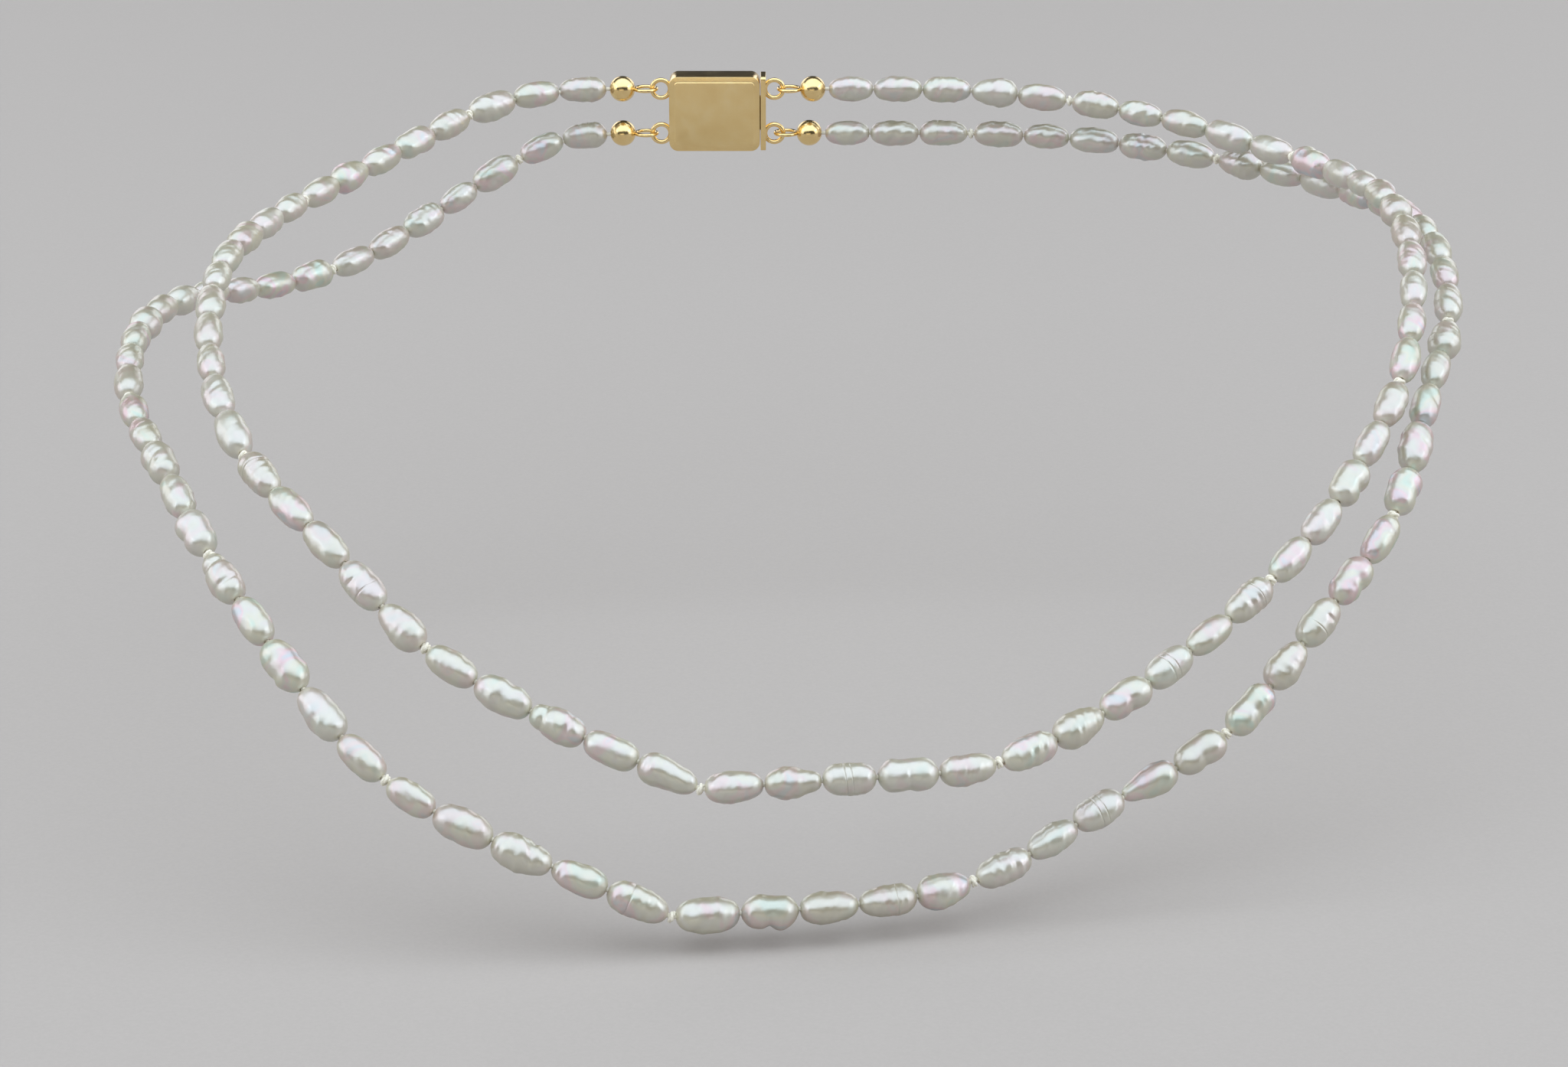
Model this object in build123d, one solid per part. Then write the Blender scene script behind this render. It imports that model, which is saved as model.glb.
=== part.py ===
from build123d import *
import os
from math import pi, radians, tan

# Two-strand necklace of white rice pearls, knotted on silk and closed at the nape by a two-row
# box clasp. Units are millimetres. +X is the wearer's left (the viewer's right), +Y points to
# the nape and +Z is up. The origin is the centre of the neck opening, level with the shoulders.
# Each strand is made in two halves that meet at a pivot knot under the throat. A half runs from
# that knot, over the shoulder and round to the clasp.

# ---- driving dimensions ----
THREAD_D = 0.5          # beading silk
BORE_D = 0.95           # drill hole through a pearl
PEARL_END_D = 1.5       # blunt end of a pearl, round the drill hole
PLAIN_GAP = 0.15        # between two pearls with no knot
KNOT_D = 1.15           # overhand knot after a run of pearls, across the silk
KNOT_LENGTH = 0.6       # along the silk
KNOT_EDGE = 0.25        # rounding of its rims
KNOT_ROOM = 0.9         # from pearl to pearl across a knot
END_KNOT_D = 1.8        # larger knot held inside a bead tip
RUNNING = 0.05          # clearance where a half strand turns on its pivot knot
ARC_SHARE = 0.45        # part of the shorter run that a bend of the silk takes up

TIP_R = 1.7             # bead tip cup, outside
TIP_WALL = 0.25
TIP_HOLE_D = 0.8        # where the silk enters
TIP_SLIT = 0.12         # parting line between the two cups
LOOP_R = 1.4            # bead tip loop, to the middle of its wire
LOOP_WIRE_R = 0.25
RING_R = 1.2            # ring on the clasp, to the middle of its wire
RING_WIRE_R = 0.3

CLASP_AT = (-12.5, 62.5, 3.0)
ROW_PITCH = 6.0         # from the inner strand's ring to the outer strand's
BOX_LENGTH = 12.0
BOX_FRONT = -6.5        # closed end of the box, from the clasp's centre
BOX_DEPTH = 3.8
BOX_HEIGHT = 10.0
BOX_WALL = 0.4
MOUTH_HEIGHT = 5.8
MOUTH_TOP = 0.75        # lower edge of the lip, above the clasp's middle plane
NOTCH_WIDTH = 2.4
NOTCH_LENGTH = 2.0
FACE_PLATE = (8.6, 0.4, 8.6)
RIB_PITCH = 1.2
RIB_R = 0.3
BASE_GAP = 0.1          # between the box mouth and the tongue's base plate
BASE_PLATE = 0.7
TONGUE_WIDTH = 4.4
LEAF_WIDTH = 4.0
LEAF_THICK = 0.35
LEAF_FOLD_X = -5.0
LEAF_REAR_X = 4.7
TAB_WIDTH = 1.8
THUMB_PLATE = (2.3, 0.35, 2.6)
THUMB_Y = 3.2

# ---- pearls: length, girth, and the radius at 10, 30, 50, 70 and 90% of the length, as a ----
# ---- part of the largest radius. The first end is the one nearer the throat.             ----
KINDS = {
    "rice": (6.2, 3.45, (0.70, 0.95, 1.00, 0.95, 0.70)),
    "long": (6.7, 3.6, (0.70, 0.96, 1.00, 0.96, 0.70)),
    "short": (5.7, 3.3, (0.68, 0.94, 1.00, 0.94, 0.68)),
    "egg": (5.9, 3.7, (0.74, 1.00, 0.98, 0.86, 0.58)),
    "drop": (6.0, 3.5, (0.72, 0.98, 1.00, 0.80, 0.52)),
    "bulb": (6.3, 3.55, (0.50, 0.76, 0.94, 1.00, 0.76)),
    "club": (6.8, 3.55, (0.60, 0.82, 0.92, 1.00, 0.78)),
    "bean": (6.1, 3.7, (0.68, 0.94, 0.98, 1.00, 0.68)),
    "lobed": (6.1, 3.55, (0.72, 0.97, 0.90, 1.00, 0.72)),
    "lumpy": (6.4, 3.65, (0.78, 1.00, 0.94, 0.80, 0.62)),
    "waisted": (6.6, 3.6, (0.74, 1.00, 0.93, 0.99, 0.74)),
    "cracked": (5.7, 3.45, (0.72, 0.97, 1.00, 0.97, 0.72)),
    "ringed": (6.1, 3.5, (0.68, 0.95, 1.00, 0.97, 0.72)),
    "wrinkled": (6.2, 3.4, (0.70, 0.96, 1.00, 0.96, 0.70)),
    "pitted": (6.1, 3.5, (0.72, 0.97, 1.00, 0.95, 0.68)),
}

# ---- the half strands: the silk's route, the route points that carry a knot, and the pearls ----
HALVES = {
    "inner_left": {
        "route": [
            (-12.5, -63.5, -39.2), (-27, -59.5, -34.2), (-42, -54.5, -27.5), (-52.5, -46, -18.5),
            (-63.5, -33.5, -13), (-68.5, -20, -7), (-70.5, -5.5, -3), (-70, 8.5, -1),
            (-66, 22.5, -0.5), (-59.5, 35.5, 0.5), (-51.5, 47, 2.5), (-43, 56.5, 5),
            (-34, 62, 6), (-25.2, 62.5, 6),
        ],
        "knot_points": (2, 4),
        "runs": (
            "club rice lumpy long rice",
            "egg pitted rice rice wrinkled",
            "long rice short rice rice",
            "short rice lobed rice short",
            "rice egg rice lobed rice",
            "long rice wrinkled",
        ),
    },
    "inner_right": {
        "route": [
            (-12.5, -63.5, -39.2), (3.5, -63.5, -38), (19, -60.5, -38.3), (34, -51.5, -33.6),
            (49.5, -40, -25), (58.5, -30.5, -18), (66.4, -17.5, -9.4), (69.6, -4, -2.5),
            (70.5, 9.5, 1.5), (69.5, 22.5, 2.5), (66, 35.5, 1.5), (58.5, 46.5, 2),
            (47.5, 55, 3.5), (34.5, 60, 5), (21, 62, 6), (9, 62.5, 6), (0, 62.5, 6),
        ],
        "knot_points": (2, 4, 6),
        "runs": (
            "rice drop cracked waisted rice",
            "ringed egg lobed cracked short wrinkled",
            "rice rice lobed rice rice",
            "rice short short rice rice",
            "egg rice short rice lobed",
            "rice long rice short ringed",
            "rice egg wrinkled rice short",
        ),
    },
    "outer_left": {
        "route": [
            (-15.5, -68.5, -51.5), (-31, -66.5, -45.4), (-46, -63, -39), (-57, -54, -28.7),
            (-66, -43.5, -20.5), (-72.5, -31, -14.5), (-78.5, -17.5, -11.5), (-80.1, -3.5, -9),
            (-79.4, 9.5, -8.8), (-76, 22.5, -10.5), (-68.5, 33.5, -13), (-59, 43.5, -12.5),
            (-50.5, 52.5, -9), (-42, 59, -4.5), (-33.5, 62.5, -0.5), (-25.2, 62.5, 0),
        ],
        "knot_points": (2, 4),
        "runs": (
            "club wrinkled long long short",
            "rice long long rice lumpy",
            "lobed rice lobed short short",
            "rice short rice egg rice",
            "lumpy rice short rice lobed",
            "rice rice ringed short long",
            "rice wrinkled",
        ),
    },
    "outer_right": {
        "route": [
            (-15.5, -68.5, -51.5), (0.5, -66.5, -51.6), (16.5, -62.5, -51.1), (30.5, -55, -45),
            (44.5, -49.5, -39.5), (55, -40.5, -29), (64.5, -30.5, -21), (69, -17.5, -12),
            (74, -4, -6.2), (75, 9.5, -2), (73.5, 23.5, -1), (70, 37, -2),
            (61.5, 49, -2), (49.5, 57.5, -1.5), (36, 61.5, -0.5), (22.5, 62.5, 0),
            (10, 62.7, 0), (-0.45, 62.7, 0),
        ],
        "knot_points": (2, 4, 6, 8),
        "runs": (
            "long bean rice wrinkled egg",
            "ringed short cracked bulb lobed",
            "waisted egg pitted lobed rice",
            "lobed long rice short egg",
            "rice short rice rice lobed",
            "short rice long rice egg",
            "rice ringed rice short rice",
            "wrinkled rice short",
        ),
    },
}

SPINNING_RUNS = ("inner_right", "outer_right")  # their first run is stored pearl by pearl


def silk_path(route):
    """Straight runs joined by tangent arcs, each as large as its two runs allow."""
    points = [Vector(*point) for point in route]
    runs = [after - before for before, after in zip(points, points[1:])]
    radii = []
    for before, after in zip(runs, runs[1:]):
        half_turn = radians(before.get_angle(after)) / 2
        radii.append(ARC_SHARE * min(before.length, after.length) / tan(half_turn))
    return FilletPolyline(*points, radius=radii), radii


def along(path, distance):
    return path.position_at(distance, position_mode=PositionMode.LENGTH)


def distance_to(path, point):
    """How far along the path its nearest place to a route point is."""
    steps = [0.25 * step for step in range(int(path.length / 0.25))]
    return min(steps, key=lambda distance: (along(path, distance) - Vector(*point)).length)


def seat(path, start, length):
    """Plane on a stretch of silk, with Z along it. It sits midway between chord and arc."""
    front = along(path, start)
    back = along(path, start + length)
    middle = along(path, start + length / 2)
    centre = ((front + back) / 2 + middle) / 2
    return Plane(origin=centre, z_dir=back - front)


def pearl(kind, length):
    """Drilled pearl along Z, centred on the origin."""
    nominal, girth, fractions = KINDS[kind]
    bore_r = BORE_D / 2
    end_r = PEARL_END_D / 2
    stations = (0.1, 0.3, 0.5, 0.7, 0.9)
    skin = [(end_r, -length / 2)]
    for station, fraction in zip(stations, fractions):
        skin.append((fraction * girth / 2, (station - 0.5) * length))
    skin.append((end_r, length / 2))
    with BuildPart() as body:
        with BuildSketch(Plane.XZ):
            with BuildLine():
                Spline(*skin)
                Polyline(skin[-1], (bore_r, length / 2), (bore_r, -length / 2), skin[0])
            make_face()
        revolve(axis=Axis.Z)
    return body.part


def run_bounds(path, half):
    """Places of the knots: the pinned ones at their route points, the rest shared evenly."""
    bounds = [0.0]
    for index in half["knot_points"]:
        bounds.append(distance_to(path, half["route"][index]))
    free_runs = half["runs"][len(bounds) - 1:]
    sizes = [sum(KINDS[kind][0] for kind in run.split()) for run in free_runs]
    free_length = path.length - TIP_R - bounds[-1]
    start = bounds[-1]
    for size in sizes:
        start += free_length * size / sum(sizes)
        bounds.append(start)
    return bounds


def run_of_pearls(path, kinds, start, end):
    """Pearls of one run, their lengths fitted to the silk between two knots."""
    nominal = sum(KINDS[kind][0] for kind in kinds)
    free = end - start - KNOT_ROOM - PLAIN_GAP * (len(kinds) - 1)
    fit = free / nominal
    place = start + KNOT_ROOM / 2
    pearls = []
    for kind in kinds:
        length = KINDS[kind][0] * fit
        pearls.append(seat(path, place, length) * pearl(kind, length))
        place += length + PLAIN_GAP
    return pearls, fit


def knot(path, place):
    """Disc with rounded rims and a clear hole for the silk."""
    disc = Cylinder(KNOT_D / 2, KNOT_LENGTH)
    disc = fillet(disc.edges(), KNOT_EDGE) - Cylinder(THREAD_D / 2 + 0.02, 2 * KNOT_D)
    return seat(path, place - KNOT_LENGTH / 2, KNOT_LENGTH) * disc


def silk(path, pivot_clearance):
    """Silk from the skin of the pivot knot to the skin of the knot in the bead tip."""
    tube = sweep(Plane(origin=path @ 0, z_dir=path % 0) * Circle(THREAD_D / 2), path=path)
    pivot = Pos(*(path @ 0)) * Sphere(KNOT_D / 2 + pivot_clearance)
    last = Pos(*(path @ 1)) * Sphere(END_KNOT_D / 2)
    return tube - pivot - last


def bead_tip(centre, side):
    """Two hinged cups round the end knot, with a loop towards the clasp."""
    cups = Sphere(TIP_R) - Sphere(TIP_R - TIP_WALL)
    cups -= Pos(-TIP_R, 0, 0) * Rot(0, 90, 0) * Cylinder(TIP_HOLE_D / 2, TIP_R)
    cups -= Pos(0, TIP_R / 2, 0) * Box(3 * TIP_R, 2 * TIP_R, TIP_SLIT)
    tip = cups + Pos(TIP_R + LOOP_R, 0, 0) * Torus(LOOP_R, LOOP_WIRE_R)
    return Plane(origin=centre, x_dir=(side, 0, 0), z_dir=(0, 0, side)) * tip


def at_clasp(shape):
    return Pos(*CLASP_AT) * shape


def clasp_block():
    """Outside of the box, with its four corners rounded."""
    block = Pos(BOX_FRONT + BOX_LENGTH / 2, 0, 0) * Box(BOX_LENGTH, BOX_DEPTH, BOX_HEIGHT)
    return fillet(block.edges().filter_by(Axis.Y), 1.2)


def clasp_box():
    cavity_length = BOX_LENGTH - 2 * BOX_WALL
    middle = BOX_FRONT + BOX_LENGTH / 2
    mouth_x = BOX_FRONT + BOX_LENGTH
    floor_y = BOX_WALL - BOX_DEPTH / 2
    box = clasp_block()
    box -= Pos(middle, 0, 0) * Box(
        cavity_length, BOX_DEPTH - 2 * BOX_WALL, BOX_HEIGHT - 2 * BOX_WALL
    )
    mouth_depth = MOUTH_TOP - floor_y
    mouth = Pos(mouth_x, floor_y + mouth_depth / 2, 0)
    box -= mouth * Box(2.5 * BOX_WALL, mouth_depth, MOUTH_HEIGHT)
    notch = Pos(mouth_x - NOTCH_LENGTH / 2, MOUTH_TOP + BOX_DEPTH / 4, 0)
    box -= notch * Box(NOTCH_LENGTH + 0.2, BOX_DEPTH / 2 + 0.2, NOTCH_WIDTH)
    return at_clasp(box)


def face_plate():
    """Ribbed ornamental plate on the outer face of the box."""
    length, thickness, height = FACE_PLATE
    top = BOX_DEPTH / 2 + thickness
    place = Pos(BOX_FRONT + 0.8 + length / 2, BOX_DEPTH / 2 + thickness / 2, 0)
    plate = Box(length, thickness, height)
    plate = place * fillet(plate.edges().filter_by(Axis.Y), 0.8)
    ribs = int((length - 1) / RIB_PITCH)
    first = BOX_FRONT + 0.8 + length / 2 - RIB_PITCH * (ribs - 1) / 2
    for rib in range(ribs):
        bar = Cylinder(RIB_R, height - 1.6)
        plate += Pos(first + RIB_PITCH * rib, top, 0) * bar
    return at_clasp(plate)


def clasp_rings(centre_x, body):
    """Two rings soldered to a clasp part, cut off flush with its face."""
    rings = []
    for row in (-1, 1):
        ring = Pos(centre_x, 0, row * ROW_PITCH / 2) * Rot(90, 0, 0) * Torus(RING_R, RING_WIRE_R)
        rings.append(at_clasp(ring - body))
    return rings


def base_plate():
    base_x = BOX_FRONT + BOX_LENGTH + BASE_GAP
    plate = Pos(base_x + BASE_PLATE / 2, 0, 0) * Box(BASE_PLATE, BOX_DEPTH, BOX_HEIGHT)
    return fillet(plate.edges().filter_by(Axis.X), 0.5)


def clasp_tongue():
    """Base plate and the lower leaf of the folded tongue."""
    floor_y = BOX_WALL - BOX_DEPTH / 2
    base_x = BOX_FRONT + BOX_LENGTH + BASE_GAP
    length = base_x - LEAF_FOLD_X
    thickness = 0.4
    leaf = Pos(LEAF_FOLD_X + length / 2, floor_y + 0.2 + thickness / 2, 0)
    return at_clasp(base_plate() + leaf * Box(length, thickness, TONGUE_WIDTH))


def spring_leaf():
    """Upper leaf of the tongue, sprung at the fold, with the thumb tab at its rear."""
    low_y = -0.8
    rise = 1.05
    outline = [
        (LEAF_FOLD_X, low_y), (LEAF_REAR_X, low_y + rise),
        (LEAF_REAR_X, low_y + rise + LEAF_THICK), (LEAF_FOLD_X, low_y + LEAF_THICK),
    ]
    leaf = Pos(0, 0, -LEAF_WIDTH / 2) * extrude(Polygon(*outline, align=None), LEAF_WIDTH)
    stem_x = LEAF_REAR_X - 0.6
    stem_low = low_y + rise
    stem_height = THUMB_Y + THUMB_PLATE[1] - stem_low
    leaf += Pos(stem_x, stem_low + stem_height / 2, 0) * Box(0.4, stem_height, TAB_WIDTH)
    thumb = Box(*THUMB_PLATE)
    thumb = fillet(thumb.edges().filter_by(Axis.Y), 0.6)
    thumb_x = stem_x - 0.2 + THUMB_PLATE[0] / 2
    leaf += Pos(thumb_x, THUMB_Y + THUMB_PLATE[1] / 2, 0) * thumb
    return at_clasp(leaf)


def save(name, shapes):
    shapes = shapes if isinstance(shapes, list) else [shapes]
    solids = [solid for shape in shapes for solid in shape.solids()]
    export_step(Compound(children=solids), f"parts/{name}.step")
    print(name, len(solids), "solid(s)")


def build_half(name, half):
    path, radii = silk_path(half["route"])
    print(name, "silk", round(path.length, 1), "mm, bend radii",
          [round(radius, 1) for radius in radii])
    bounds = run_bounds(path, half)
    for number, run in enumerate(half["runs"]):
        kinds = run.split()
        pearls, fit = run_of_pearls(path, kinds, bounds[number], bounds[number + 1])
        print(" ", name, "run", number + 1, "fit", round(fit, 3))
        if number == 0 and name in SPINNING_RUNS:
            for index, single in enumerate(pearls):
                save(f"{name}_front_pearl_{index + 1}", single)
        else:
            save(f"{name}_run_{number + 1}_pearls", pearls)

    is_right = name.endswith("right")
    thread = silk(path, RUNNING if is_right else 0.0)
    expected = pi * (THREAD_D / 2) ** 2 * (path.length - KNOT_D / 2 - END_KNOT_D / 2)
    print(" ", name, "silk volume over section times length", round(thread.volume / expected, 3))
    save(f"{name}_silk", thread)

    knots = [knot(path, place) for place in bounds[1:-1]]
    knots.append(Pos(*(path @ 1)) * Sphere(END_KNOT_D / 2))
    if not is_right:
        knots.append(Pos(*(path @ 0)) * Sphere(KNOT_D / 2))
    save(f"{name}_knots", knots)
    save(f"{name}_bead_tip", bead_tip(path @ 1, -1 if is_right else 1))


os.makedirs("parts", exist_ok=True)
for half_name, half_data in HALVES.items():
    build_half(half_name, half_data)

save("clasp_box", clasp_box())
save("clasp_face_plate", face_plate())
save("clasp_box_rings", clasp_rings(BOX_FRONT - RING_R + 0.1, clasp_block()))
save("clasp_tongue", clasp_tongue())
base_face = BOX_FRONT + BOX_LENGTH + BASE_GAP + BASE_PLATE
save("clasp_tongue_rings", clasp_rings(base_face + RING_R - 0.1, base_plate()))
save("clasp_spring_leaf", spring_leaf())
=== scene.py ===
# Two-strand necklace of white rice pearls on cream silk, with a gold-coloured box clasp.
# Units are metres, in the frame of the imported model: +X is the viewer's right, +Y points to the
# nape and +Z is up.
from math import pi, radians

import bmesh
import bpy
import numpy as np
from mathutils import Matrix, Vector


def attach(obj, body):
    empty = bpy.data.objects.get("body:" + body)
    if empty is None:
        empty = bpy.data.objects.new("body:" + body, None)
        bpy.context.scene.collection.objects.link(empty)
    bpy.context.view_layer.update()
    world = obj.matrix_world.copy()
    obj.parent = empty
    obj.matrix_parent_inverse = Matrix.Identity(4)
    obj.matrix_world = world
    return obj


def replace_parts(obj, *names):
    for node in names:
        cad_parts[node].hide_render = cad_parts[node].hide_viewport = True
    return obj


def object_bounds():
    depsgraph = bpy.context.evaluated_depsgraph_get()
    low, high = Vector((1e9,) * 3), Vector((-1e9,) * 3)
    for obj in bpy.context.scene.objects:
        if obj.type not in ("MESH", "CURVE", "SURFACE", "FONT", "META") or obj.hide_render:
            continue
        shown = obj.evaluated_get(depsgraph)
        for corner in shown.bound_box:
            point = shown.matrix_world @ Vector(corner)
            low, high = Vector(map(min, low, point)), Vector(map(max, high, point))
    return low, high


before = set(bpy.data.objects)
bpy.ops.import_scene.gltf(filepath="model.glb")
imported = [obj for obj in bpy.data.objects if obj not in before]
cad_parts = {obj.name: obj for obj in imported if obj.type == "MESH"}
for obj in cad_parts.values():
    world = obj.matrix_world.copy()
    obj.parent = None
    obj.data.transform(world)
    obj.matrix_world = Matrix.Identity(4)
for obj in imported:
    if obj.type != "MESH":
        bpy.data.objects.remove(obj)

MM = 0.001
CAD_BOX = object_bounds()

# ---- silk and knots ----
THREAD_R = 0.25 * MM
KNOT_R = 0.72 * MM          # a knot between two pearls
KNOT_HALF = 0.29 * MM       # about half of its length along the silk
END_KNOT_R = 0.9 * MM       # the round knot in a bead tip
KNOT_COIL = 0.50            # mean radius of a knot's trefoil, as a share of the knot's radius
KNOT_SWING = 0.20           # how far the trefoil swings in and out, as the same share
KNOT_TUBE = 0.30            # radius of the tube along it, as the same share
KNOT_REACH = 0.52           # how far it swings along the silk, as a share of the half length
KNOT_SQUEEZE = 0.35         # how much a flat knot's tube is squeezed along the silk
KNOT_TURN = 1.7             # turn from each knot to the next, in radians
OFF_LINE = (0.3, 0.2, 1.0)  # a direction that the silk runs in at no knot
KNOT_STEPS = 72             # mesh steps along the trefoil
KNOT_SIDES = 10             # and round its tube

# ---- pearls: outline ----
STATIONS = np.array([0.1, 0.3, 0.5, 0.7, 0.9])  # places of the radii in SHAPES
BLUNTNESS = 3.0             # 2 is an ellipse, more is nearer to a barrel
SKIN_SHARE = 0.98           # mean skin, as a share of the CAD pearl's radius
END_GAP = 0.04 * MM         # how much shorter a pearl is than the CAD's
BORE_R = 0.31 * MM          # drill hole
RIM_R = 0.40 * MM           # where the skin turns into the drill hole
BORE_SHARE = 0.985          # the hole's wall ends just inside the rims
PAINTED_END_LIGHT = 0.55               # how much of the drill hole's lighter cream reaches the pearl's ends: painted light against the shade in the gaps between pearls
PAINTED_END_LIGHT_POWER = 6            # and how close to them it stays
# ---- pearls: mesh ----
PEARL_ROWS = 60             # mesh rows along the skin
PEARL_COLUMNS = 56          # mesh columns round it
BORE_ROWS = 8               # mesh rows along the drill hole
CRACK_ROWS = 9              # extra rows across a growth crack,
CRACK_SPAN = 2              # which reach this many times CRACK_WIDTH each way
CRACK_CLEAR = 2.4           # and replace the rows that are nearer than this many times
TILT = 0.03                 # how far the mesh rows lean, as a share of the length
SEED = 11
# ---- pearls: relief. Rises and depths are shares of the radius, widths of the length ----
OVAL_RISE = 0.035           # makes the cross-section oval
CORNER_RISE = 0.018         # gives it three soft corners
BOW_RISE = 0.05             # one-sided swelling of the middle
SLOW_WAVES, SLOW_RISE = 6, 0.009
FINE_WAVES, FINE_RISE = 8, 0.003
FINE_SHARES = (0.2, 1.4)    # a pearl's fine waves are this range of shares of FINE_RISE
RING_BIAS = 0.3             # how much deeper a ring is on one side
RING_SIDE = 1.2             # which side that is, in radians
SPOT_SHIFT = 8              # how far a spot may be moved round the pearl, in degrees
RIPPLE_FADE = 1.6           # more takes the ripples nearer to the pearl's ends
RIPPLE_SWAY = 0.5           # how far a ripple swings along the pearl, in radians of its wave
RIPPLE_BIAS = 0.35          # share of the ripples that is only on one side
RIPPLE_SIDE = radians(70)
CREASE_WANDER = 0.25        # how far a lengthwise crease swings round the pearl, in radians
CREASE_BEATS = 2.2          # in half waves along the pearl
CREASE_REACH = 0.3          # half length of a crease
CRACK_DEPTH = 0.05
CRACK_LIP = 0.35            # rise beside a growth crack, as a share of its depth
CRACK_WIDTH = 0.010         # half width of a growth crack
LIP_PLACE = 3 * CRACK_WIDTH  # from the crack, towards the throat
LIP_WIDTH = 2 * CRACK_WIDTH

# ---- clasp ----
MERGE = 0.001 * MM          # vertices closer than this are the same
FLAT = radians(1)           # faces that turn by less than this are the same
SQUARE_ON = 0.99            # least cosine between a face's normal and the way it should look
BOX_BORDER = 0.7 * MM       # round the raised panel in the back of the clasp's box
PANEL_STEP = 0.08 * MM
BOX_EDGE_R = 0.22 * MM
PLATE_EDGE_R = 0.10 * MM
LEAF_EDGE_R = 0.08 * MM
SHARP_EDGE = radians(28)    # edges that turn by more than this are rounded
SHADING_BREAK = radians(35)  # and shading stops at those that still turn by more than this
CLASP_BODIES = {
    "clasp_box": "root", "clasp_face_plate": "root", "clasp_tongue": "inner_right",
    "clasp_spring_leaf": "spring_leaf",
}

# ---- studio ----
CAMERA_PLACE = (-0.0038, -0.412, 0.116)
CAMERA_TILT = radians(70)
CAMERA_LENS = 83.8          # mm, on a sensor 36 mm wide
FLOOR_DROP = 2 * MM         # below the lowest pearl
FLOOR_REACH = 8.0
LIGHTS_AIM = (0, -0.02, -0.02)
SOFT_WHITE = (0.97, 0.97, 1)
SKY_COLOUR = (0.92, 0.95, 1.0)
SKY_STRENGTH = 0.06

# ---- the silk's routes, from the pivot knot under the throat to the clasp, in millimetres ----
ROUTES = {
    "inner_left": [
        (-12.5, -63.5, -39.2), (-27, -59.5, -34.2), (-42, -54.5, -27.5), (-52.5, -46, -18.5),
        (-63.5, -33.5, -13), (-68.5, -20, -7), (-70.5, -5.5, -3), (-70, 8.5, -1),
        (-66, 22.5, -0.5), (-59.5, 35.5, 0.5), (-51.5, 47, 2.5), (-43, 56.5, 5),
        (-34, 62, 6), (-25.2, 62.5, 6),
    ],
    "inner_right": [
        (-12.5, -63.5, -39.2), (3.5, -63.5, -38), (19, -60.5, -38.3), (34, -51.5, -33.6),
        (49.5, -40, -25), (58.5, -30.5, -18), (66.4, -17.5, -9.4), (69.6, -4, -2.5),
        (70.5, 9.5, 1.5), (69.5, 22.5, 2.5), (66, 35.5, 1.5), (58.5, 46.5, 2),
        (47.5, 55, 3.5), (34.5, 60, 5), (21, 62, 6), (9, 62.5, 6), (0, 62.5, 6),
    ],
    "outer_left": [
        (-15.5, -68.5, -51.5), (-31, -66.5, -45.4), (-46, -63, -39), (-57, -54, -28.7),
        (-66, -43.5, -20.5), (-72.5, -31, -14.5), (-78.5, -17.5, -11.5), (-80.1, -3.5, -9),
        (-79.4, 9.5, -8.8), (-76, 22.5, -10.5), (-68.5, 33.5, -13), (-59, 43.5, -12.5),
        (-50.5, 52.5, -9), (-42, 59, -4.5), (-33.5, 62.5, -0.5), (-25.2, 62.5, 0),
    ],
    "outer_right": [
        (-15.5, -68.5, -51.5), (0.5, -66.5, -51.6), (16.5, -62.5, -51.1), (30.5, -55, -45),
        (44.5, -49.5, -39.5), (55, -40.5, -29), (64.5, -30.5, -21), (69, -17.5, -12),
        (74, -4, -6.2), (75, 9.5, -2), (73.5, 23.5, -1), (70, 37, -2),
        (61.5, 49, -2), (49.5, 57.5, -1.5), (36, 61.5, -0.5), (22.5, 62.5, 0),
        (10, 62.7, 0), (-0.45, 62.7, 0),
    ],
}
BODIES = {
    "inner_left": "root", "inner_right": "inner_right",
    "outer_left": "root", "outer_right": "outer_right",
}

# ---- the pearls of each run, in order from the throat ----
RUNS = {
    "inner_left": (
        "club barrel lumpy wavy rice",
        "egg pitted notched rice wrinkled",
        "long rice short rice creased",
        "short rice lobed rice short",
        "rice egg rice lobed rice",
        "long rice wrinkled",
    ),
    "inner_right": (
        "keel drop cracked waisted keel",
        "ringed egg lobed cracked short wrinkled",
        "rice creased lobed rice wavy",
        "rice short short rice rice",
        "egg rice short rice lobed",
        "rice long rice short ringed",
        "rice egg wrinkled rice short",
    ),
    "outer_left": (
        "wrinkled dented stepped long creased",
        "creased keel beaded creased lumpy",
        "lobed rice lobed short short",
        "rice short rice egg rice",
        "lumpy rice short rice lobed",
        "rice rice ringed short long",
        "rice wrinkled",
    ),
    "outer_right": (
        "wavy bean keel wrinkled egg",
        "ringed short cracked bulb lobed",
        "waisted egg pitted lobed rice",
        "lobed long creased short egg",
        "rice short rice rice lobed",
        "short rice long rice egg",
        "rice ringed rice short rice",
        "wrinkled rice short",
    ),
}

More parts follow.
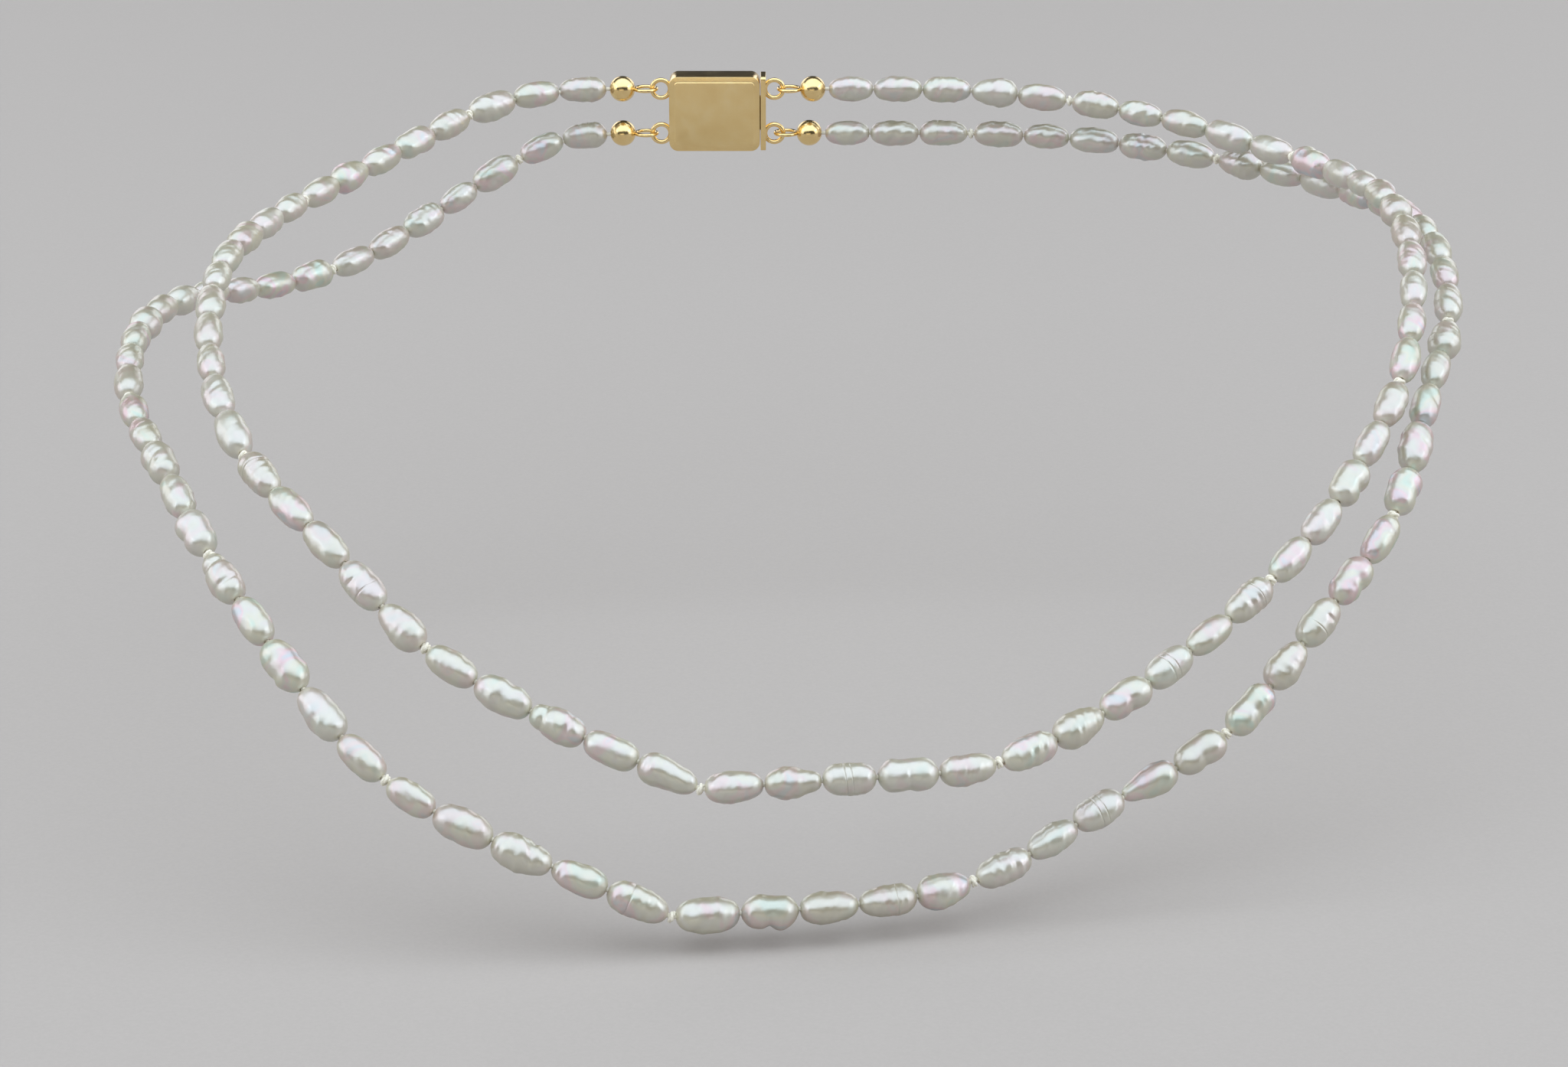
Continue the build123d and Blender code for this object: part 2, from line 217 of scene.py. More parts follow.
# ---- pearl shapes: the radius at 10, 30, 50, 70 and 90% of the length, and the relief on it ----
# Places along a pearl and widths are shares of its length, from the end nearer the throat. Angles
# and spreads go round it in degrees: 0 is up, 90 faces away from the neck, 180 is down. Rises and
# depths are shares of its radius.
#   spots    (place, angle, rise, width, spread)
#   rings    (place, depth, width)
#   ripples  (number along the pearl, rise)
#   creases  (angle, depth, spread)
#   cracks   (place, angle, spread)
SHAPES = {
    "rice": {"radii": (0.70, 0.95, 1.00, 0.95, 0.70)},
    "long": {"radii": (0.70, 0.96, 1.00, 0.96, 0.70)},
    "short": {"radii": (0.68, 0.94, 1.00, 0.94, 0.68)},
    "barrel": {"radii": (0.76, 0.98, 1.00, 0.97, 0.74), "spots": [(0.2, 150, 0.05, 0.16, 50)]},
    "keel": {
        "radii": (0.74, 0.97, 0.99, 0.93, 0.66),
        "spots": [(0.35, 175, 0.10, 0.2, 45), (0.5, 0, -0.04, 0.3, 40)],
    },
    "wavy": {
        "radii": (0.72, 0.96, 1.00, 0.97, 0.72),
        "ripples": [(3.5, 0.022)],
        "spots": [(0.62, 20, 0.06, 0.14, 50)],
    },
    "creased": {
        "radii": (0.72, 0.97, 1.00, 0.95, 0.68),
        "creases": [(60, 0.06, 14)],
    },
    "notched": {
        "radii": (0.70, 0.95, 1.00, 0.96, 0.72),
        "spots": [(0.78, 170, -0.12, 0.06, 35)],
    },
    "egg": {
        "radii": (0.74, 1.00, 0.98, 0.86, 0.58),
        "ripples": [(5.5, 0.012)],
        "spots": [(0.38, 170, 0.06, 0.16, 50)],
    },
    "drop": {
        "radii": (0.72, 0.98, 0.98, 0.78, 0.56),
        "spots": [(0.72, 20, -0.07, 0.12, 50), (0.9, 60, 0.05, 0.1, 60)],
    },
    "bulb": {"radii": (0.50, 0.76, 0.94, 1.00, 0.76)},
    "club": {
        "radii": (0.60, 0.82, 0.92, 1.00, 0.78),
        "spots": [(0.84, 55, -0.10, 0.05, 30), (0.55, 175, -0.05, 0.12, 50)],
    },
    "bean": {
        "radii": (0.68, 0.94, 0.96, 0.98, 0.66),
        "spots": [
            (0.46, 178, -0.20, 0.07, 50), (0.66, 172, 0.16, 0.13, 45), (0.72, 0, -0.12, 0.2, 60),
            (0.32, 0, 0.06, 0.18, 60),
        ],
    },
    "lobed": {
        "radii": (0.72, 0.97, 0.98, 1.00, 0.74),
        "spots": [
            (0.46, 125, -0.13, 0.08, 42), (0.74, 95, 0.05, 0.13, 50), (0.3, 20, -0.05, 0.08, 30),
            (0.58, 330, 0.05, 0.14, 45),
        ],
    },
    "lumpy": {
        "radii": (0.74, 0.98, 0.99, 0.86, 0.66),
        "rings": [(0.74, 0.09, 0.045), (0.3, 0.03, 0.05)],
        "spots": [(0.86, 70, 0.07, 0.06, 50), (0.3, 30, -0.07, 0.05, 35)],
    },
    "waisted": {
        "radii": (0.74, 1.00, 0.96, 0.99, 0.74),
        "rings": [(0.52, 0.02, 0.08)],
        "spots": [(0.52, 175, -0.04, 0.07, 50), (0.5, 60, -0.03, 0.04, 30)],
    },
    "cracked": {
        "radii": (0.72, 0.97, 1.00, 0.97, 0.72),
        "cracks": [(0.42, 50, 75), (0.54, 60, 40)],
    },
    "ringed": {"radii": (0.68, 0.95, 1.00, 0.97, 0.72), "ripples": [(5.5, 0.028)]},
    "wrinkled": {
        "radii": (0.66, 0.93, 0.99, 1.00, 0.74),
        "ripples": [(6.5, 0.02)],
        "cracks": [(0.63, 60, 50)],
    },
    "dented": {
        "radii": (0.76, 1.00, 0.98, 0.90, 0.62),
        "spots": [(0.82, 60, -0.13, 0.045, 30), (0.9, 40, 0.05, 0.05, 40)],
    },
    "stepped": {
        "radii": (0.66, 0.90, 1.00, 0.99, 0.74),
        "ripples": [(4.5, 0.02)],
        "spots": [(0.36, 0, -0.12, 0.05, 55), (0.85, 70, -0.06, 0.04, 40)],
    },
    "beaded": {
        "radii": (0.68, 0.96, 1.00, 0.98, 0.70),
        "spots": [(0.27, 105, 0.10, 0.09, 26), (0.40, 130, -0.08, 0.07, 30)],
    },
    "pitted": {
        "radii": (0.72, 0.97, 1.00, 0.95, 0.68),
        "spots": [(0.6, 70, -0.12, 0.035, 16)],
        "cracks": [(0.35, 80, 40)],
    },
}


# ---- small tools ----
def new_object(name, mesh, body, material):
    """Links a mesh or curve, and ties it to its body and its finish."""
    piece = bpy.data.objects.new(name, mesh)
    bpy.context.scene.collection.objects.link(piece)
    mesh.materials.append(material)
    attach(piece, body)
    return piece


def islands(node):
    """The vertices of each separate solid of a CAD node."""
    work = bmesh.new()
    work.from_mesh(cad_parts[node].data)
    bmesh.ops.remove_doubles(work, verts=work.verts, dist=MERGE)
    found = []
    seen = set()
    for first in work.verts:
        if first in seen:
            continue
        seen.add(first)
        stack = [first]
        island = []
        while stack:
            vertex = stack.pop()
            island.append(tuple(vertex.co))
            for edge in vertex.link_edges:
                other = edge.other_vert(vertex)
                if other not in seen:
                    seen.add(other)
                    stack.append(other)
        found.append(np.array(island))
    work.free()
    return found


def unit(vector):
    return vector / np.linalg.norm(vector)


class Line:
    """The smooth line of a half strand, read from its curve."""

    def __init__(self, curve_object):
        plain = curve_object.data.copy()
        plain.bevel_depth = 0
        holder = bpy.data.objects.new("line", plain)
        mesh = bpy.data.meshes.new_from_object(holder)
        self.points = np.array([vertex.co for vertex in mesh.vertices], float)
        bpy.data.objects.remove(holder)
        bpy.data.curves.remove(plain)
        bpy.data.meshes.remove(mesh)

    def nearest(self, point):
        return int(np.argmin(np.linalg.norm(self.points - point, axis=1)))

    def direction(self, index):
        last = len(self.points) - 1
        return unit(self.points[min(index + 1, last)] - self.points[max(index - 1, 0)])


# ---- materials ----
def new_material(name):
    material = bpy.data.materials.new(name)
    material.use_nodes = True
    nodes = material.node_tree.nodes
    return material, nodes, material.node_tree.links, nodes["Principled BSDF"]


def noise(nodes, links, scale, detail=2.0, roughness=0.5, distortion=0.0):
    """Noise over the piece's own coordinates. The scale is in patches per metre."""
    place = nodes.new("ShaderNodeTexCoord")
    texture = nodes.new("ShaderNodeTexNoise")
    texture.inputs["Scale"].default_value = scale
    texture.inputs["Detail"].default_value = detail
    texture.inputs["Roughness"].default_value = roughness
    texture.inputs["Distortion"].default_value = distortion
    links.new(place.outputs["Object"], texture.inputs["Vector"])
    return texture.outputs["Fac"]


def ramp(nodes, links, source, stops):
    """Colour ramp with (place, colour) stops."""
    node = nodes.new("ShaderNodeValToRGB")
    elements = node.color_ramp.elements
    while len(elements) < len(stops):
        elements.new(0.5)
    for element, (place, colour) in zip(elements, stops):
        element.position = place
        element.color = (*colour, 1.0)
    links.new(source, node.inputs["Fac"])
    return node.outputs["Color"]


def mix(nodes, links, factor, first, second):
    node = nodes.new("ShaderNodeMix")
    node.data_type = "RGBA"
    for socket, value in (("Factor", factor), ("A", first), ("B", second)):
        target = [s for s in node.inputs if s.name == socket and s.enabled][0]
        if isinstance(value, bpy.types.NodeSocket):
            links.new(value, target)
        else:
            target.default_value = (*value, 1.0)
    return [s for s in node.outputs if s.enabled][0]


def map_range(nodes, links, source, low, high, to_low, to_high):
    node = nodes.new("ShaderNodeMapRange")
    for socket, value in (
        ("From Min", low), ("From Max", high), ("To Min", to_low), ("To Max", to_high),
    ):
        node.inputs[socket].default_value = value
    links.new(source, node.inputs["Value"])
    return node.outputs["Result"]


def attribute(nodes, name):
    node = nodes.new("ShaderNodeAttribute")
    node.attribute_name = name
    return node.outputs["Fac"]


def plain_values(shader, values):
    for socket, value in values.items():
        shader.inputs[socket].default_value = value


def bump(nodes, links, shader, layers):
    """Stacks (height, distance) layers of relief, the coarsest first."""
    previous = None
    for height, distance in layers:
        node = nodes.new("ShaderNodeBump")
        node.inputs["Strength"].default_value = 1.0
        node.inputs["Distance"].default_value = distance
        links.new(height, node.inputs["Height"])
        if previous:
            links.new(previous, node.inputs["Normal"])
        previous = node.outputs["Normal"]
    links.new(previous, shader.inputs["Normal"])


def nacre():
    """White mother-of-pearl. Each pearl has its own tone and lustre, and the lustre brings out
    patches of pink, green and blue in its reflections. Painted light: the ends and the drill holes
    are mixed towards a lighter cream, which lifts the shade in the gaps between the pearls."""
    material, nodes, links, shader = new_material("pearl_nacre")
    tone = attribute(nodes, "tone")
    near_hole = attribute(nodes, "near_hole")
    lustre = attribute(nodes, "lustre")
    body = ramp(nodes, links, tone, [
        (0.0, (0.40, 0.34, 0.22)), (0.5, (0.425, 0.375, 0.26)), (1.0, (0.45, 0.41, 0.31)),
    ])
    patches = noise(nodes, links, 330, detail=1.5, distortion=0.6)
    orient = ramp(nodes, links, patches, [
        (0.30, (0.37, 0.38, 0.29)), (0.42, (0.43, 0.38, 0.245)), (0.52, (0.41, 0.37, 0.28)),
        (0.62, (0.48, 0.30, 0.28)), (0.72, (0.37, 0.35, 0.36)),
    ])
    share = map_range(nodes, links, lustre, 0, 1, 0.2, 0.7)
    colour = mix(nodes, links, share, body, orient)
    # painted light: lighter cream at the pearls' ends and in the drill holes, lifting the shade in
    # the gaps between pearls
    with_painted_end_light = mix(nodes, links, near_hole, colour, (0.72, 0.66, 0.52))
    links.new(with_painted_end_light, shader.inputs["Base Color"])
    sheen = ramp(nodes, links, patches, [
        (0.30, (0.60, 0.98, 0.92)), (0.41, (0.92, 0.98, 0.92)), (0.50, (0.88, 0.95, 1.0)),
        (0.60, (1.0, 0.70, 0.90)), (0.70, (0.58, 0.80, 1.0)),
    ])
    tint = mix(nodes, links, share, (0.90, 0.95, 1.0), sheen)
    links.new(tint, shader.inputs["Specular Tint"])
    gloss = noise(nodes, links, 900, detail=3)
    links.new(map_range(nodes, links, gloss, 0.3, 0.7, 0.28, 0.38), shader.inputs["Roughness"])
    plain_values(shader, {
        "IOR": 3.8, "Coat Weight": 0.3, "Coat Roughness": 0.18, "Coat IOR": 1.5,
        "Subsurface Weight": 0.35, "Subsurface Radius": (1.0, 0.85, 0.65),
        "Subsurface Scale": 0.6 * MM,
    })
    swell = noise(nodes, links, 800, detail=1)
    skin = noise(nodes, links, 2600, detail=1)
    bump(nodes, links, shader, [(swell, 0.07 * MM), (skin, 0.006 * MM)])
    return material


def silk():
    """Cream silk, with fine fibres."""
    material, nodes, links, shader = new_material("cream_silk")
    fibres = noise(nodes, links, 6000, detail=3)
    colour = ramp(nodes, links, fibres, [(0.3, (0.80, 0.75, 0.61)), (0.7, (0.95, 0.92, 0.82))])
    links.new(colour, shader.inputs["Base Color"])
    links.new(map_range(nodes, links, fibres, 0.3, 0.7, 0.55, 0.8), shader.inputs["Roughness"])
    plain_values(shader, {"Sheen Weight": 0.4, "Sheen Roughness": 0.4})
    bump(nodes, links, shader, [(fibres, 0.04 * MM)])
    return material


def gold():
    """Polished gold-coloured metal, a little worn."""
    material, nodes, links, shader = new_material("gold_metal")
    wear = noise(nodes, links, 500, detail=4, roughness=0.6)
    colour = ramp(nodes, links, wear, [
        (0.3, (0.83, 0.61, 0.28)), (0.55, (0.87, 0.66, 0.32)), (0.75, (0.90, 0.71, 0.38)),
    ])
    links.new(colour, shader.inputs["Base Color"])
    links.new(map_range(nodes, links, wear, 0.3, 0.75, 0.17, 0.26), shader.inputs["Roughness"])
    plain_values(shader, {"Metallic": 1.0})
    scratches = noise(nodes, links, 4000, detail=4)
    bump(nodes, links, shader, [(scratches, 0.008 * MM)])
    return material


def floor_finish():
    """A matt, warm grey studio floor."""
    material, nodes, links, shader = new_material("floor")
    grain = noise(nodes, links, 2500, detail=2)
    colour = ramp(nodes, links, grain, [(0.3, (0.405, 0.37, 0.343)), (0.7, (0.42, 0.385, 0.357))])
    links.new(colour, shader.inputs["Base Color"])
    plain_values(shader, {"Roughness": 0.8})
    return material


NACRE = nacre()
SILK = silk()
GOLD = gold()


# ---- camera, floor and lights ----
def add_camera():
    camera = bpy.data.cameras.new("camera")
    camera.sensor_width = 36
    camera.lens = CAMERA_LENS
    camera.clip_start = 0.01
    camera.clip_end = 10
    holder = bpy.data.objects.new("camera", camera)
    holder.location = CAMERA_PLACE
    holder.rotation_euler = (CAMERA_TILT, 0, 0)
    bpy.context.scene.collection.objects.link(holder)
    bpy.context.scene.camera = holder


def add_floor():
    height = CAD_BOX[0][2] - FLOOR_DROP
    corners = [
        (FLOOR_REACH * x, FLOOR_REACH * y, height) for x, y in ((-1, -1), (1, -1), (1, 1), (-1, 1))
    ]
    mesh = bpy.data.meshes.new("floor")
    mesh.from_pydata(corners, [], [(0, 1, 2, 3)])
    mesh.materials.append(floor_finish())
    floor = bpy.data.objects.new("floor", mesh)
    bpy.context.scene.collection.objects.link(floor)


def area_light(name, place, size, power, colour):
    light = bpy.data.lights.new(name, "AREA")
    light.shape = "RECTANGLE"
    light.size, light.size_y = size
    light.energy = power
    light.color = colour
    holder = bpy.data.objects.new(name, light)
    holder.location = place
    aim = Vector(LIGHTS_AIM) - Vector(place)
    holder.rotation_euler = aim.to_track_quat("-Z", "Y").to_euler()
    bpy.context.scene.collection.objects.link(holder)


def add_lights():
    """A wide panel overhead, a low one in front, and soft ones at the sides and the back."""
    area_light("key", (0.05, -0.42, 1.53), (6.0, 3.0), 104, (0.85, 0.93, 1.01))
    area_light("front", (-0.75, -5.5, 0.03), (4.0, 1.25), 19, (1.0, 0.92, 0.78))
    for name, side in (("left", -1), ("right", 1)):
        area_light(f"back_{name}", (2.6 * side, 5.2, 1.35), (3.3, 2.7), 45, SOFT_WHITE)
        area_light(name, (4.8 * side, -0.1, 1.35), (6.8, 2.8), 104, SOFT_WHITE)
    world = bpy.data.worlds.new("studio")
    world.use_nodes = True
    background = world.node_tree.nodes["Background"]
    background.inputs["Color"].default_value = (*SKY_COLOUR, 1)
    background.inputs["Strength"].default_value = SKY_STRENGTH
    bpy.context.scene.world = world
    bpy.context.scene.view_settings.view_transform = "Standard"


# ---- silk ----
def half_thread(name):
    """The silk of a half strand, along its route."""
    curve = bpy.data.curves.new(f"{name}_thread", "CURVE")
    curve.dimensions = "3D"
    curve.bevel_depth = THREAD_R
    curve.bevel_resolution = 4
    curve.resolution_u = 16
    spline = curve.splines.new("NURBS")
    points = ROUTES[name]
    spline.points.add(len(points) - 1)
    for point, place in zip(spline.points, points):
        point.co = (place[0] * MM, place[1] * MM, place[2] * MM, 1)
    spline.order_u = 3
    spline.use_endpoint_u = True
    thread = new_object(f"{name}_thread", curve, BODIES[name], SILK)
    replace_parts(thread, f"{name}_silk")
    return thread


# ---- pearls ----
def bell(x, centre, width):
    return np.exp(-(((x - centre) / width) ** 2))


def facing(angle, centre, spread):
    """1 at the centre angle, and less the further round the pearl. The angle is in radians, its
    centre and spread are in degrees."""
    return np.exp((np.cos(angle - radians(centre)) - 1) / radians(spread) ** 2)


def any_angle(rng):
    return rng.uniform(0, 2 * pi)


def waves(rng, t, angle, number, rise, turns, beats):
    """Slanting waves over the skin. How many each makes round the pearl is drawn from turns, and
    how many along it from beats."""
    total = 0
    for _ in range(number):
        turn = rng.integers(*turns)
        beat = rng.uniform(*beats)
        total = total + rise * np.cos(2 * pi * beat * t + turn * angle + any_angle(rng))
    return total


def skin_relief(shape, rng, t, angle):
    """How far the skin stands out, as a share of the radius."""
    height = OVAL_RISE * rng.uniform(-1, 1) * np.cos(2 * angle + any_angle(rng))
    height = height + CORNER_RISE * np.cos(3 * angle + any_angle(rng))
    bow = BOW_RISE * rng.uniform(0, 1) * np.sin(pi * t)
    height = height + bow * np.cos(angle + any_angle(rng))
    height = height + waves(rng, t, angle, SLOW_WAVES, SLOW_RISE, turns=(1, 5), beats=(1.0, 4.0))
    fine = FINE_RISE * rng.uniform(*FINE_SHARES)
    height = height + waves(rng, t, angle, FINE_WAVES, fine, turns=(2, 8), beats=(3.0, 8.0))
    for place, depth, width in shape.get("rings", ()):
        one_side = 1 + RING_BIAS * np.cos(angle - RING_SIDE)
        height = height - depth * bell(t, place, width) * one_side
    for place, centre, rise, width, spread in shape.get("spots", ()):
        turned = centre + rng.uniform(-SPOT_SHIFT, SPOT_SHIFT)
        height = height + rise * bell(t, place, width) * facing(angle, turned, spread)
    for number, rise in shape.get("ripples", ()):
        window = np.clip(RIPPLE_FADE * np.sin(pi * t), 0, 1)
        sway = RIPPLE_SWAY * np.sin(angle + any_angle(rng))
        ripple = np.sin(2 * pi * number * t + sway + any_angle(rng))
        one_side = 1 - RIPPLE_BIAS + RIPPLE_BIAS * np.cos(angle - RIPPLE_SIDE)
        height = height + rise * window * ripple * one_side
    for centre, depth, spread in shape.get("creases", ()):
        swing = CREASE_WANDER * np.sin(CREASE_BEATS * pi * t + any_angle(rng))
        across = facing(angle - swing, centre, spread)
        height = height - depth * bell(t, 0.5, CREASE_REACH) * across
    for place, centre, spread in shape.get("cracks", ()):
        groove = bell(t, place, CRACK_WIDTH)
        groove = groove - CRACK_LIP * bell(t, place - LIP_PLACE, LIP_WIDTH)
        height = height - CRACK_DEPTH * groove * facing(angle, centre, spread)
    return height


def skin_rows(shape, reach):
    """Places of the mesh rows along the skin, closer together at the ends and at a crack."""
    rows = 0.5 - reach / 2 * np.cos(np.linspace(0, pi, PEARL_ROWS))
    for place, _, _ in shape.get("cracks", ()):
        extra = place + CRACK_WIDTH * np.linspace(-CRACK_SPAN, CRACK_SPAN, CRACK_ROWS)
        rows = np.append(rows[np.abs(rows - place) > CRACK_CLEAR * CRACK_WIDTH], extra)
    return np.sort(rows)


def blunt(t):
    """Radius of a barrel with round ends, as a share of its middle's."""
    return np.sqrt(1 - np.abs(2 * t - 1) ** BLUNTNESS)


def grid_quads(rows, columns):
    """The quads of a grid of vertices that closes both ways."""
    index = np.arange(rows * columns).reshape(rows, columns)
    beside = np.roll(index, -1, axis=1)
    return np.stack([
        index, beside, np.roll(beside, -1, axis=0), np.roll(index, -1, axis=0),
    ], axis=-1).reshape(-1, 4)


def drilled_pearl(shape, rng, centre, axes, length, radius):
    """One pearl, along its skin and back through the drill hole: its vertices, its quads, and
    how much of the drill hole's lighter cream, painted light against the shade between pearls,
    each vertex has."""
    radius = SKIN_SHARE * radius
    reach = (1 - (RIM_R / radius) ** 2) ** (1 / BLUNTNESS)
    length = (length - END_GAP) / reach
    t = skin_rows(shape, reach)[:, None]
    angle = np.linspace(0, 2 * pi, PEARL_COLUMNS, endpoint=False)[None, :]
    shares = np.array(shape["radii"]) / blunt(STATIONS)
    profile = blunt(t) * np.polyval(np.polyfit(STATIONS, shares, len(STATIONS) - 1), t)
    middle = np.clip(4 * t * (1 - t), 0, 1)
    relief = skin_relief(shape, rng, t, angle)
    skin = radius * profile * (1 + relief * np.sqrt(middle))
    tilt = rng.uniform(-TILT, TILT) * middle * np.cos(angle + any_angle(rng))
    hole_t = np.linspace(0.5 + reach / 2, 0.5 - reach / 2, BORE_ROWS)[:, None]
    hole_along = length * (hole_t - 0.5) * BORE_SHARE + 0 * angle
    radii = np.vstack([skin, np.full_like(hole_along, BORE_R)])
    along = np.vstack([length * (t - 0.5 + tilt), hole_along])
    forward, up, out = axes
    ring = np.cos(angle)[..., None] * up + np.sin(angle)[..., None] * out
    places = centre + along[..., None] * forward + radii[..., None] * ring
    # painted light towards the pearl's ends, where the gaps between the pearls are in shade
    painted_end_light = np.clip((1 - middle) ** PAINTED_END_LIGHT_POWER, 0, 1) * PAINTED_END_LIGHT + 0 * angle
    near_hole = np.vstack([painted_end_light, np.ones_like(hole_along)])
    return places.reshape(-1, 3), grid_quads(*radii.shape), near_hole.ravel()


def pearl_axes(points, line):
    """Centre, axes, length and radius of a turned CAD pearl."""
    centre = points.mean(axis=0)
    values, vectors = np.linalg.eigh(np.cov((points - centre).T))
    forward = vectors[:, -1]
    if forward @ line.direction(line.nearest(centre)) < 0:
        forward = -forward
    along = (points - centre) @ forward
    centre = centre + forward * (along.max() + along.min()) / 2
    away = (points - centre) - np.outer((points - centre) @ forward, forward)
    up = unit(np.array([0, 0, 1]) - forward[2] * forward)
    out = np.cross(forward, up)
    if out @ np.array([centre[0], centre[1], 0]) < 0:
        out = -out
    length = along.max() - along.min()
    return centre, (forward, up, out), length, np.linalg.norm(away, axis=1).max()


def pearl_piece(node, body, pearls):
    """One piece for the pearls of a node."""
    counts = [len(pearl["places"]) for pearl in pearls]
    offsets = np.cumsum([0] + counts)
    places = np.vstack([pearl["places"] for pearl in pearls])
    quads = np.vstack([pearl["quads"] + offset for pearl, offset in zip(pearls, offsets)])
    name = node.replace("_pearls", "") + "_nacre"
    mesh = bpy.data.meshes.new(name)
    mesh.from_pydata(places.tolist(), [], quads.tolist())
    mesh.shade_smooth()
    for look in ("near_hole", "tone", "lustre"):
        values = [pearl[look] + np.zeros(count) for pearl, count in zip(pearls, counts)]
        layer = mesh.attributes.new(look, "FLOAT", "POINT")
        layer.data.foreach_set("value", np.concatenate(values))
    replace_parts(new_object(name, mesh, body, NACRE), node)


def string_pearls(bodies, words, line, rng):
    """The pearls of a run, shaped by its words. The run is one node, or a node for each pearl."""
    found = [(node, points) for node in bodies for points in islands(node)]
    found.sort(key=lambda item: line.nearest(item[1].mean(axis=0)))
    pieces = {node: [] for node in bodies}
    for word, (node, points) in zip(words, found):
        centre, axes, length, radius = pearl_axes(points, line)
        places, quads, near_hole = drilled_pearl(SHAPES[word], rng, centre, axes, length, radius)
        if np.linalg.det(np.array(axes)) < 0:
            quads = quads[:, ::-1]
        pieces[node].append({
            "places": places, "quads": quads, "near_hole": near_hole,
            "tone": rng.uniform(0, 1), "lustre": rng.uniform(0, 1) ** 2,
        })
    for node, pearls in pieces.items():
        pearl_piece(node, bodies[node], pearls)


def half_pearls(name, line):
    """The pearls of a half strand. Each front pearl is a node and a body of its own."""
    rng = np.random.default_rng(list(ROUTES).index(name) + SEED)
    for number, run in enumerate(RUNS[name], 1):
        words = run.split()
        node = f"{name}_run_{number}_pearls"
        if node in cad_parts:
            bodies = {node: BODIES[name]}
        else:
            singles = [f"{name}_front_pearl_{place}" for place in range(1, len(words) + 1)]
            bodies = {single: single for single in singles}
        string_pearls(bodies, words, line, rng)


# ---- knots ----
def overhand(centre, forward, radius, half, turn):
    """Tube along a trefoil round the silk, which is what an overhand knot pulls up into."""
    side = unit(np.cross(forward, OFF_LINE))
    other = np.cross(forward, side)
    t = np.linspace(0, 2 * pi, KNOT_STEPS, endpoint=False)
    out = radius * (KNOT_COIL + KNOT_SWING * np.cos(3 * t))
    path = (
        centre
        + out[:, None] * np.cos(2 * t + turn)[:, None] * side
        + out[:, None] * np.sin(2 * t + turn)[:, None] * other
        + (KNOT_REACH * half * np.sin(3 * t))[:, None] * forward
    )
    along = np.roll(path, -1, axis=0) - np.roll(path, 1, axis=0)
    along /= np.linalg.norm(along, axis=1)[:, None]
    first = np.cross(along, path - centre)
    first /= np.linalg.norm(first, axis=1)[:, None]
    second = np.cross(along, first)
    around = np.linspace(0, 2 * pi, KNOT_SIDES, endpoint=False)[None, :, None]
    section = np.cos(around) * first[:, None] + np.sin(around) * second[:, None]
    tube = radius * KNOT_TUBE * section
    squeeze = KNOT_SQUEEZE * (1 - half / radius)
    tube -= squeeze * (tube @ forward)[..., None] * forward
    outwards = grid_quads(KNOT_STEPS, KNOT_SIDES)[:, [0, 3, 2, 1]]
    return (path[:, None] + tube).reshape(-1, 3), outwards


def half_knots(name, line):
    """The knots of a half strand, as one piece."""
    node = f"{name}_knots"
    places, quads, count = [], [], 0
    for number, points in enumerate(islands(node)):
        centre = (points.max(axis=0) + points.min(axis=0)) / 2
        forward = line.direction(line.nearest(centre))
        size = np.linalg.norm(points - centre, axis=1).max()
        if size > (KNOT_R + END_KNOT_R) / 2:
            radius = half = END_KNOT_R
        else:
            radius, half = KNOT_R, KNOT_HALF
        turn = KNOT_TURN * number
        knot_places, knot_quads = overhand(centre, forward, radius, half, turn)
        places.append(knot_places)
        quads.append(knot_quads + count)
        count += len(knot_places)
    mesh = bpy.data.meshes.new(f"{name}_tied_knots")
    mesh.from_pydata(np.vstack(places).tolist(), [], np.vstack(quads).tolist())
    mesh.shade_smooth()
    piece = new_object(f"{name}_tied_knots", mesh, BODIES[name], SILK)
    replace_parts(piece, node)
    return piece


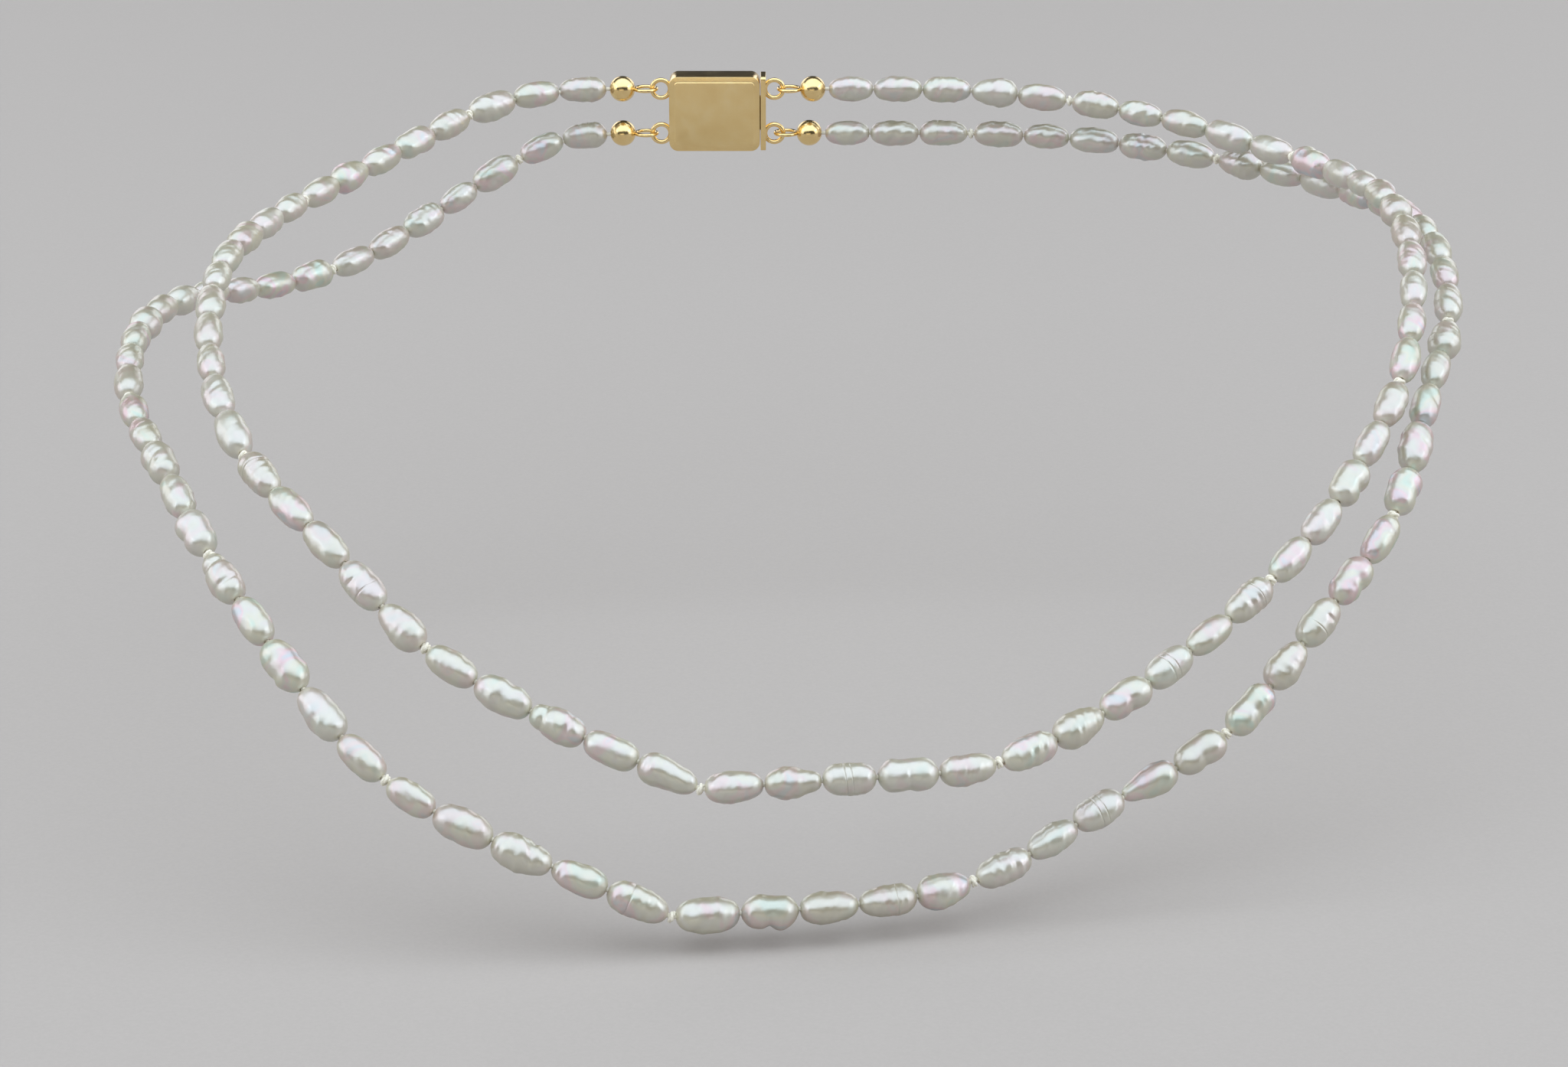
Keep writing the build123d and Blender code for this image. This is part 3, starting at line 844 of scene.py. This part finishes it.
# ---- clasp and bead tips ----
def plain_faces(node):
    """A CAD piece's mesh with its triangles joined into its real faces."""
    work = bmesh.new()
    work.from_mesh(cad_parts[node].data)
    bmesh.ops.remove_doubles(work, verts=work.verts, dist=MERGE)
    bmesh.ops.dissolve_limit(
        work, angle_limit=FLAT, verts=work.verts[:], edges=work.edges[:],
    )
    return work


def raise_panel(work, direction, border, step):
    """Stamps a raised panel in the outermost large face that looks along a direction."""
    work.normal_update()
    direction = Vector(direction)
    square_on = [face for face in work.faces if face.normal.dot(direction) > SQUARE_ON]
    panel = max(square_on, key=lambda face: face.calc_center_median().dot(direction))
    bmesh.ops.inset_region(work, faces=[panel], thickness=border, depth=0)
    bmesh.ops.inset_region(work, faces=[panel], thickness=step, depth=step)


def finished_metal(node, work, edge_radius):
    """Rounds the sharp edges, as polishing does, and puts the piece where the CAD node was."""
    sharp = [
        edge for edge in work.edges
        if len(edge.link_faces) == 2 and edge.calc_face_angle(0) > SHARP_EDGE
    ]
    bmesh.ops.bevel(
        work, geom=sharp, offset=edge_radius, segments=3, profile=0.5, affect="EDGES",
        clamp_overlap=True,
    )
    name = f"{node}_polished"
    mesh = bpy.data.meshes.new(name)
    work.to_mesh(mesh)
    work.free()
    mesh.shade_smooth()
    mesh.set_sharp_from_angle(angle=SHADING_BREAK)
    piece = new_object(name, mesh, CLASP_BODIES[node], GOLD)
    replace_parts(piece, node)


def clasp():
    box = plain_faces("clasp_box")
    raise_panel(box, (0, -1, 0), BOX_BORDER, PANEL_STEP)
    finished_metal("clasp_box", box, BOX_EDGE_R)
    for node, edge_radius in (
        ("clasp_face_plate", PLATE_EDGE_R), ("clasp_tongue", LEAF_EDGE_R),
        ("clasp_spring_leaf", LEAF_EDGE_R),
    ):
        finished_metal(node, plain_faces(node), edge_radius)


def gild():
    """The bead tips and the clasp's rings keep their CAD shape and get the gold finish."""
    for name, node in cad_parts.items():
        if name.endswith(("_bead_tip", "_rings")):
            node.data.materials.clear()
            node.data.materials.append(GOLD)


add_camera()
add_floor()
add_lights()
for half in ROUTES:
    thread = half_thread(half)
    line = Line(thread)
    half_pearls(half, line)
    half_knots(half, line)
clasp()
gild()
